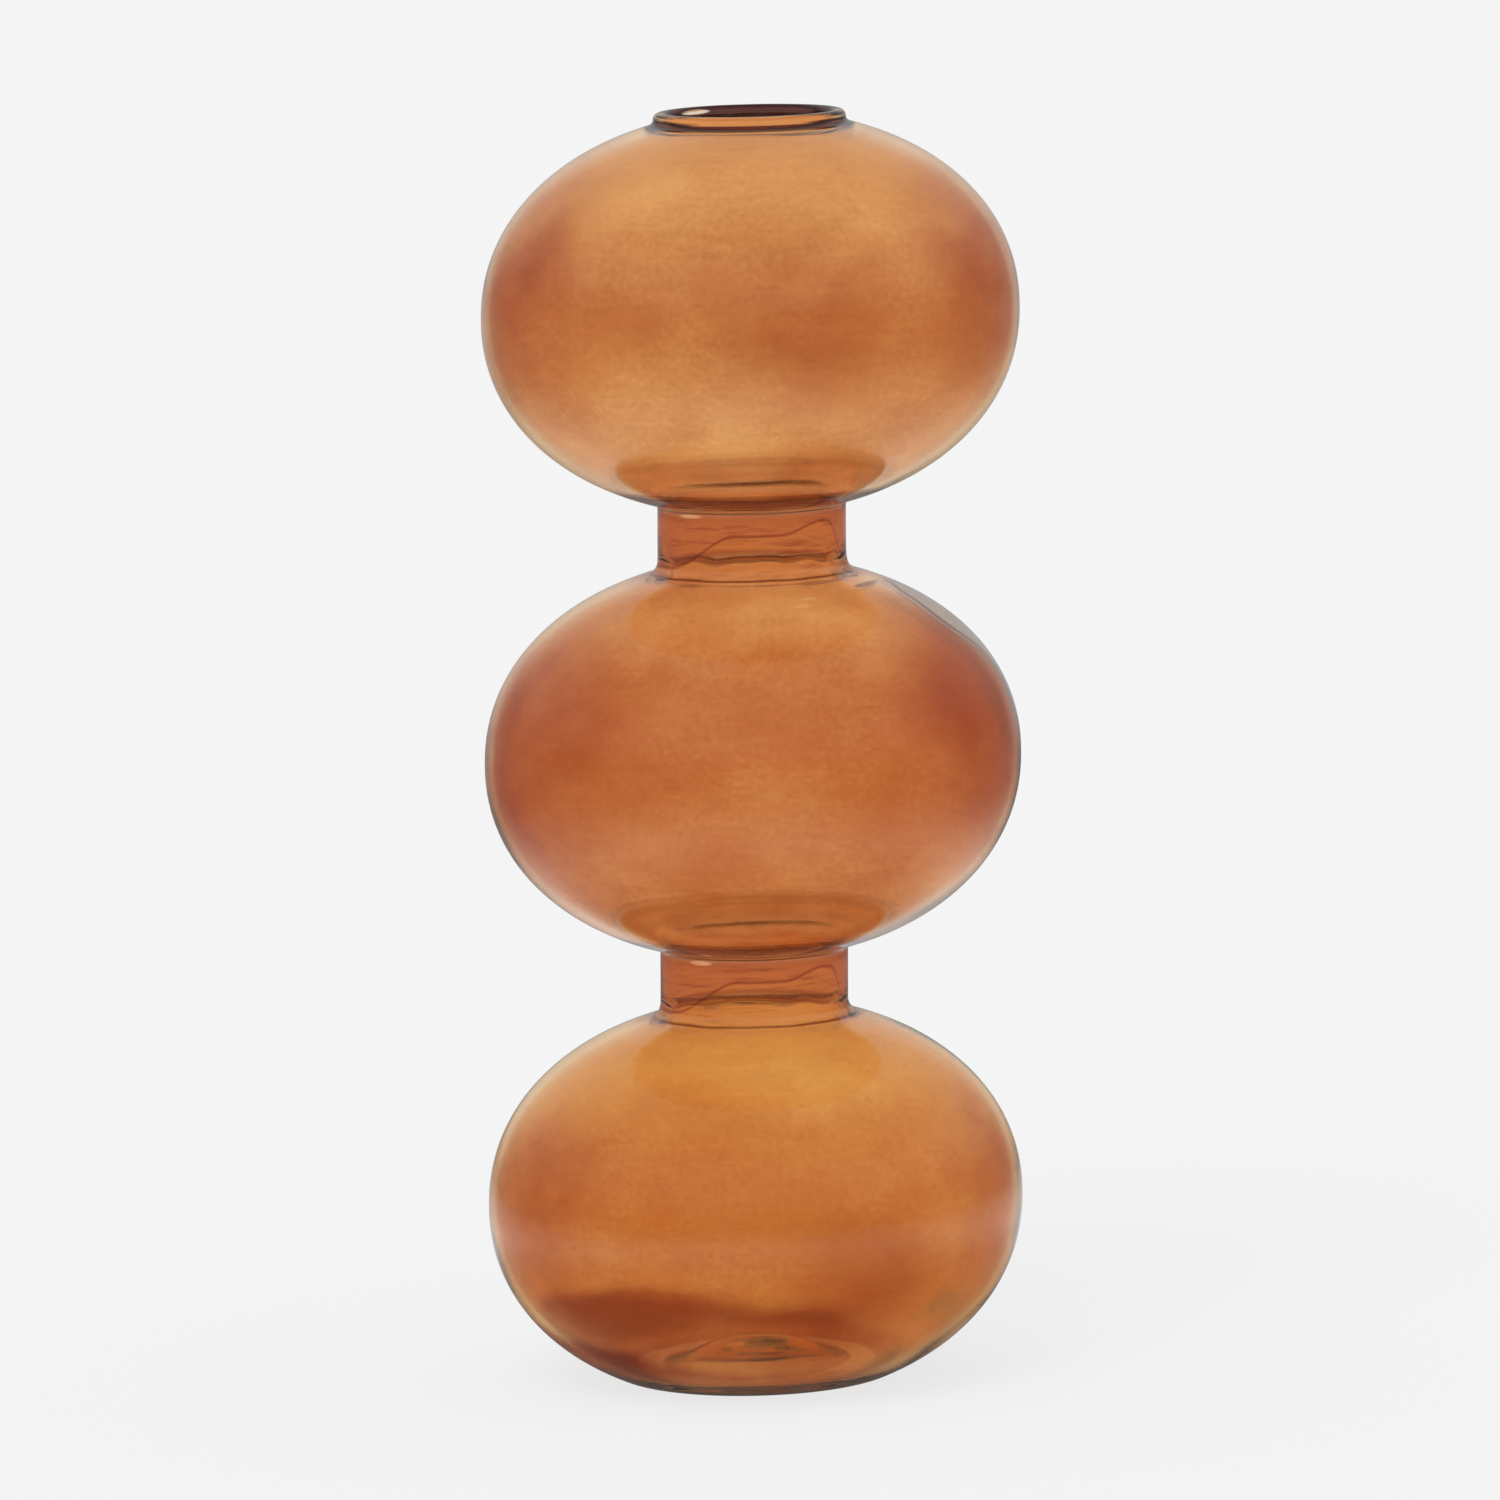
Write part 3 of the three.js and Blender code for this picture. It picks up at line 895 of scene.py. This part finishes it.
def outer_glass(name):
    """The outside of the vase, with two places where the glass is grey, painted highlights, and painted shade
    in the crease under the lip.
    """
    material = new_material(name)
    nodes = Nodes(material.node_tree)
    colour, place, height, across, back, out = tint(nodes, (0, 0, 0), outside=True)
    colour = grey_places(nodes, colour, place, height, across, back)
    # Painted highlights
    for x, z, wide, high in GLINTS:
        glint = nodes.times(oval(nodes, across, height, (x, z), (wide, high)), nodes.span(back, -4, -8))
        colour = nodes.blend(glint, colour, GLINT)
    # Painted shade in the crease under the lip
    corner = LIP_RADIUS + LIP_HALF_THICKNESS + CREASE_OFFSET
    crease = nodes.hump(out, corner, CREASE_REACH)
    crease = nodes.times(crease, nodes.span(height, MOUTH_LEVEL - 3, MOUTH_LEVEL - 2))
    ends = nodes.span(nodes.size_of(across), 12, 22)
    brim = nodes.minus(height, nodes.times(ends, 0.5))
    crease = nodes.times(crease, nodes.span(brim, MOUTH_LEVEL + 0.5, MOUTH_LEVEL + 0.1))
    colour = nodes.blend(nodes.times(crease, 2.5, clamp=True), colour, CREASE_SHADE)
    glass_shader(nodes, colour, 0.0, 0.1, place)
    return material


def inner_glass(name):
    """The inside of the vase, with painted shade that turns the back of the lip dark burgundy and leaves its
    front gold, a painted highlight there, and dark over the pontil scar."""
    material = new_material(name)
    nodes = Nodes(material.node_tree)
    colour, place, height, across, back, out = tint(nodes, (3.1, 1.7, 0.4), outside=False)
    over_scar = (SEAL_OFFSET, 0, KICK_HEIGHT + FLOOR_CASING + LINING_WALL)
    dark = nodes.times(near(nodes, place, over_scar, 1.5 * SEAL_RADIUS, 1.0), 2.5, clamp=True)
    colour = nodes.blend(dark, colour, SCAR_DARK)
    # Painted shade: the back of the lip dark burgundy, its front gold, with a painted highlight at the back
    lip = nodes.blend(nodes.span(back, -6, 3), LIP_GOLD, LIP_SHADE_BURGUNDY)
    gleam = nodes.times(oval(nodes, across, height, *GLEAM), nodes.span(back, 4, 8))
    lip = nodes.blend(gleam, lip, SPARKLE)
    mouth = nodes.span(height, MOUTH_LEVEL - 2.5, MOUTH_LEVEL - 0.5)
    glass_shader(nodes, nodes.blend(mouth, colour, lip), 0.05, 0.05, place)
    return material


def joint_glass(name):
    """Where two glasses are fused there is no surface, so light passes straight on."""
    material = new_material(name)
    nodes = Nodes(material.node_tree)
    shader = nodes.add("ShaderNodeBsdfTransparent")
    output = nodes.add("ShaderNodeOutputMaterial")
    nodes.join(shader.outputs[0], output.inputs["Surface"])
    return material


def scar_glass(name):
    """The dark, rough glass of the pontil scar."""
    material = new_material(name)
    nodes = Nodes(material.node_tree)
    place = nodes.add("ShaderNodeTexCoord").outputs["Object"]
    grain = nodes.noise(place, GRAIN_SCALE, 3)
    colour = nodes.blend(nodes.span(grain, 0.4, 0.6), SCAR_DARK, SCAR_RED)
    shader = glass_shader(nodes, colour, 0.3, 0.2, place)
    shader.inputs["Transmission Weight"].default_value = 0.3
    return material


outer = outer_glass("amber_outside")
joint = joint_glass("fused_joint")
inner = inner_glass("amber_inside")
scar = scar_glass("scar_glass")
GLASSES = [outer, joint, inner]


def dress(piece, node):
    """Stands a piece for its node, riding on the one body."""
    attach(piece, "root")
    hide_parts(node)


# Bubbles and necks, each a casing over a lining
for part in ("top_bubble", "middle_bubble", "bottom_bubble", "upper_neck", "lower_neck"):
    casing = shell(part + "_casing_glass", outside_of(part), layer_of(part, True), OUTER, JOINT, GLASSES)
    dress(casing, part + "_casing")
    lining = shell(part + "_lining_glass", layer_of(part, False), inside_of(part), JOINT, INNER, GLASSES)
    dress(lining, part + "_lining")

# Fused rings and the mouth
for part in [neck + end for neck in ("upper_neck", "lower_neck") for end in ("_top_seam", "_bottom_seam")]:
    ring = shell(part + "_glass", outside_of(part), inside_of(part), OUTER, INNER, GLASSES)
    dress(ring, part)
rim = shell("mouth_rim_glass", outside_of("mouth_rim"), inside_of("mouth_rim"), OUTER, INNER, GLASSES)
dress(rim, "mouth_rim")

# Pontil scar
seal_bottom = KICK_HEIGHT - SEAL_DEPTH
seal_run = straight((0, seal_bottom), (SEAL_RADIUS * 0.8, seal_bottom + 0.1), 6)
seal_run += rounded(seal_run[-1], (SEAL_RADIUS, seal_bottom), (SEAL_RADIUS, KICK_HEIGHT - 0.2), 6)[1:]
seal_run += [(SEAL_RADIUS, KICK_HEIGHT)]
seal_growth = [0.3 * wave(2 * TURNS, 40 * radius, 6.0) * bump(radius, 4, 2) for radius, _ in seal_run]
seal_rows = grown(seal_run, seal_growth)
seal_rows[:, :, 0] += SEAL_OFFSET
seal_lid = np.repeat(seal_rows[-1:].mean(axis=1, keepdims=True), TURN_STEPS, axis=1)
seal_normals = row_normals(seal_rows)
lid_normals = np.tile((0.0, 0.0, 1.0), (1, TURN_STEPS, 1))
seal_stretches = [((seal_rows, seal_normals), OUTER), ((seal_lid, lid_normals), JOINT)]
seal = ringed("base_seal_glass", seal_stretches, [scar, joint])
dress(seal, "base_seal")

# Floor
bpy.ops.mesh.primitive_plane_add(size=30, location=(0, 0, 0))
floor = bpy.context.object
floor.name = "floor"
floor_paint = new_material("pale_floor")
paint = Nodes(floor_paint.node_tree)
matte = paint.add("ShaderNodeBsdfDiffuse")
seen = paint.add("ShaderNodeLightPath").outputs
unmirrored = paint.math("MAXIMUM", seen["Is Camera Ray"], seen["Is Transmission Ray"])
# Reflections see the matte floor dimmed, a painted shade
glossy = paint.times(seen["Is Glossy Ray"], paint.minus(1.0, unmirrored))
shade = paint.minus(1.0, paint.times(glossy, GLOSSY_DIMMING))
paint.join(paint.blend(shade, (0.0, 0.0, 0.0), (FLOOR_COLOUR,) * 3), matte.inputs["Color"])
# Painted light for reflections alone: a pool round the vase, painted shade close to it, and a brighter far
# part behind
around = paint.add("ShaderNodeVectorMath", operation="LENGTH")
paint.join(paint.add("ShaderNodeTexCoord").outputs["Object"], around.inputs[0])
spread = paint.math("LOGARITHM", around.outputs["Value"], 10)
pool = paint.span(spread, *(math.log10(reach) for reach in POOL_REACH), POOL_SHARE, MIRROR_SHARE)
pool = paint.times(pool, paint.span(around.outputs["Value"], *SHADE_REACH, SHADE_SHARE, 1.0))
bearing = paint.add("ShaderNodeVectorMath", operation="NORMALIZE")
paint.join(paint.add("ShaderNodeTexCoord").outputs["Object"], bearing.inputs[0])
ahead = paint.add("ShaderNodeSeparateXYZ")
paint.join(bearing.outputs[0], ahead.inputs[0])
far = paint.span(spread, *FAR_REACH, 0.0, FAR_SHARE)
far = paint.times(paint.span(ahead.outputs[1], *BACKDROP_REACH), far)
shown = paint.plus(unmirrored, paint.times(glossy, paint.plus(pool, far)))
lift = paint.add("ShaderNodeEmission")
paint.join(paint.times(shown, FLOOR_LIFT), lift.inputs["Strength"])
lifted = paint.add("ShaderNodeAddShader")
paint.join(matte.outputs[0], lifted.inputs[0])
paint.join(lift.outputs[0], lifted.inputs[1])
floor_output = paint.add("ShaderNodeOutputMaterial")
paint.join(lifted.outputs[0], floor_output.inputs["Surface"])
floor.data.materials.append(floor_paint)

# Surroundings: white where the camera looks and through the glass near eye level, dimmer overhead and in
# reflections, with a brighter backdrop behind
world = bpy.data.worlds.new("studio")
bpy.context.scene.world = world
world.use_nodes = True
world.node_tree.nodes.clear()
sky = Nodes(world.node_tree)
direction = sky.add("ShaderNodeTexCoord").outputs["Generated"]
parts = sky.add("ShaderNodeSeparateXYZ")
sky.join(direction, parts.inputs[0])
upwards = parts.outputs[2]
through = sky.span(upwards, *LOOKING_THROUGH, BACKGROUND, THROUGH_OVERHEAD)
mirrored = sky.span(upwards, *NEAR_EYE_LEVEL, SIDE_LEVEL, UPPER_LEVEL)
mirrored = sky.plus(mirrored, sky.span(upwards, *NEAR_OVERHEAD, 0.0, OVERHEAD_DROP))
mirrored = sky.plus(mirrored, sky.span(parts.outputs[1], *BACKDROP_REACH, 0.0, BACKDROP_LEVEL - SIDE_LEVEL))
path = sky.add("ShaderNodeLightPath").outputs
level = sky.blend(path["Is Glossy Ray"], (AMBIENT_LEVEL,) * 3, mirrored)
level = sky.blend(path["Is Transmission Ray"], level, through)
level = sky.blend(path["Is Camera Ray"], level, (BACKGROUND,) * 3)
surround = sky.add("ShaderNodeBackground")
sky.join(level, surround.inputs["Color"])
world_output = sky.add("ShaderNodeOutputWorld")
sky.join(surround.outputs[0], world_output.inputs["Surface"])

# Lamp: it gives the floor its soft shadow and isn't seen in the glass
sun = bpy.data.objects.new("key", bpy.data.lights.new("key", "SUN"))
sun.data.energy = 0.9
sun.data.angle = math.radians(30)
sun.visible_glossy = False
sun.visible_transmission = False
sun.rotation_euler = (math.radians(35), math.radians(-20), 0)
bpy.context.scene.collection.objects.link(sun)

# Camera
camera = bpy.data.objects.new("camera", bpy.data.cameras.new("camera"))
bpy.context.scene.collection.objects.link(camera)
bpy.context.scene.camera = camera
camera.data.sensor_width = SENSOR
camera.data.lens = SENSOR * PIXELS_PER_METRE * CAMERA_DISTANCE / PHOTO_SIZE
camera.data.clip_end = 100
camera.data.shift_x = -(AIM_PIXEL[0] - PHOTO_SIZE / 2) / PHOTO_SIZE
camera.data.shift_y = (AIM_PIXEL[1] - PHOTO_SIZE / 2) / PHOTO_SIZE
level_right = Vector((1, 0, 0))
level_up = Vector((0, math.sin(CAMERA_DOWN), math.cos(CAMERA_DOWN)))
towards_camera = Vector((0, -math.cos(CAMERA_DOWN), math.sin(CAMERA_DOWN)))
right = level_right * math.cos(CAMERA_ROLL) - level_up * math.sin(CAMERA_ROLL)
up = level_right * math.sin(CAMERA_ROLL) + level_up * math.cos(CAMERA_ROLL)
camera_turn = Matrix((right, up, towards_camera)).transposed().to_4x4()
camera_place = Vector((0, 0, AIM_HEIGHT)) + towards_camera * CAMERA_DISTANCE
camera.matrix_world = Matrix.Translation(camera_place) @ camera_turn

bpy.context.scene.view_settings.view_transform = "Standard"
# Light that runs along inside the glass turns many times before it leaves
cycles = bpy.context.scene.cycles
cycles.max_bounces = 32
cycles.glossy_bounces = 24
cycles.transmission_bounces = 32
cycles.transparent_max_bounces = 64
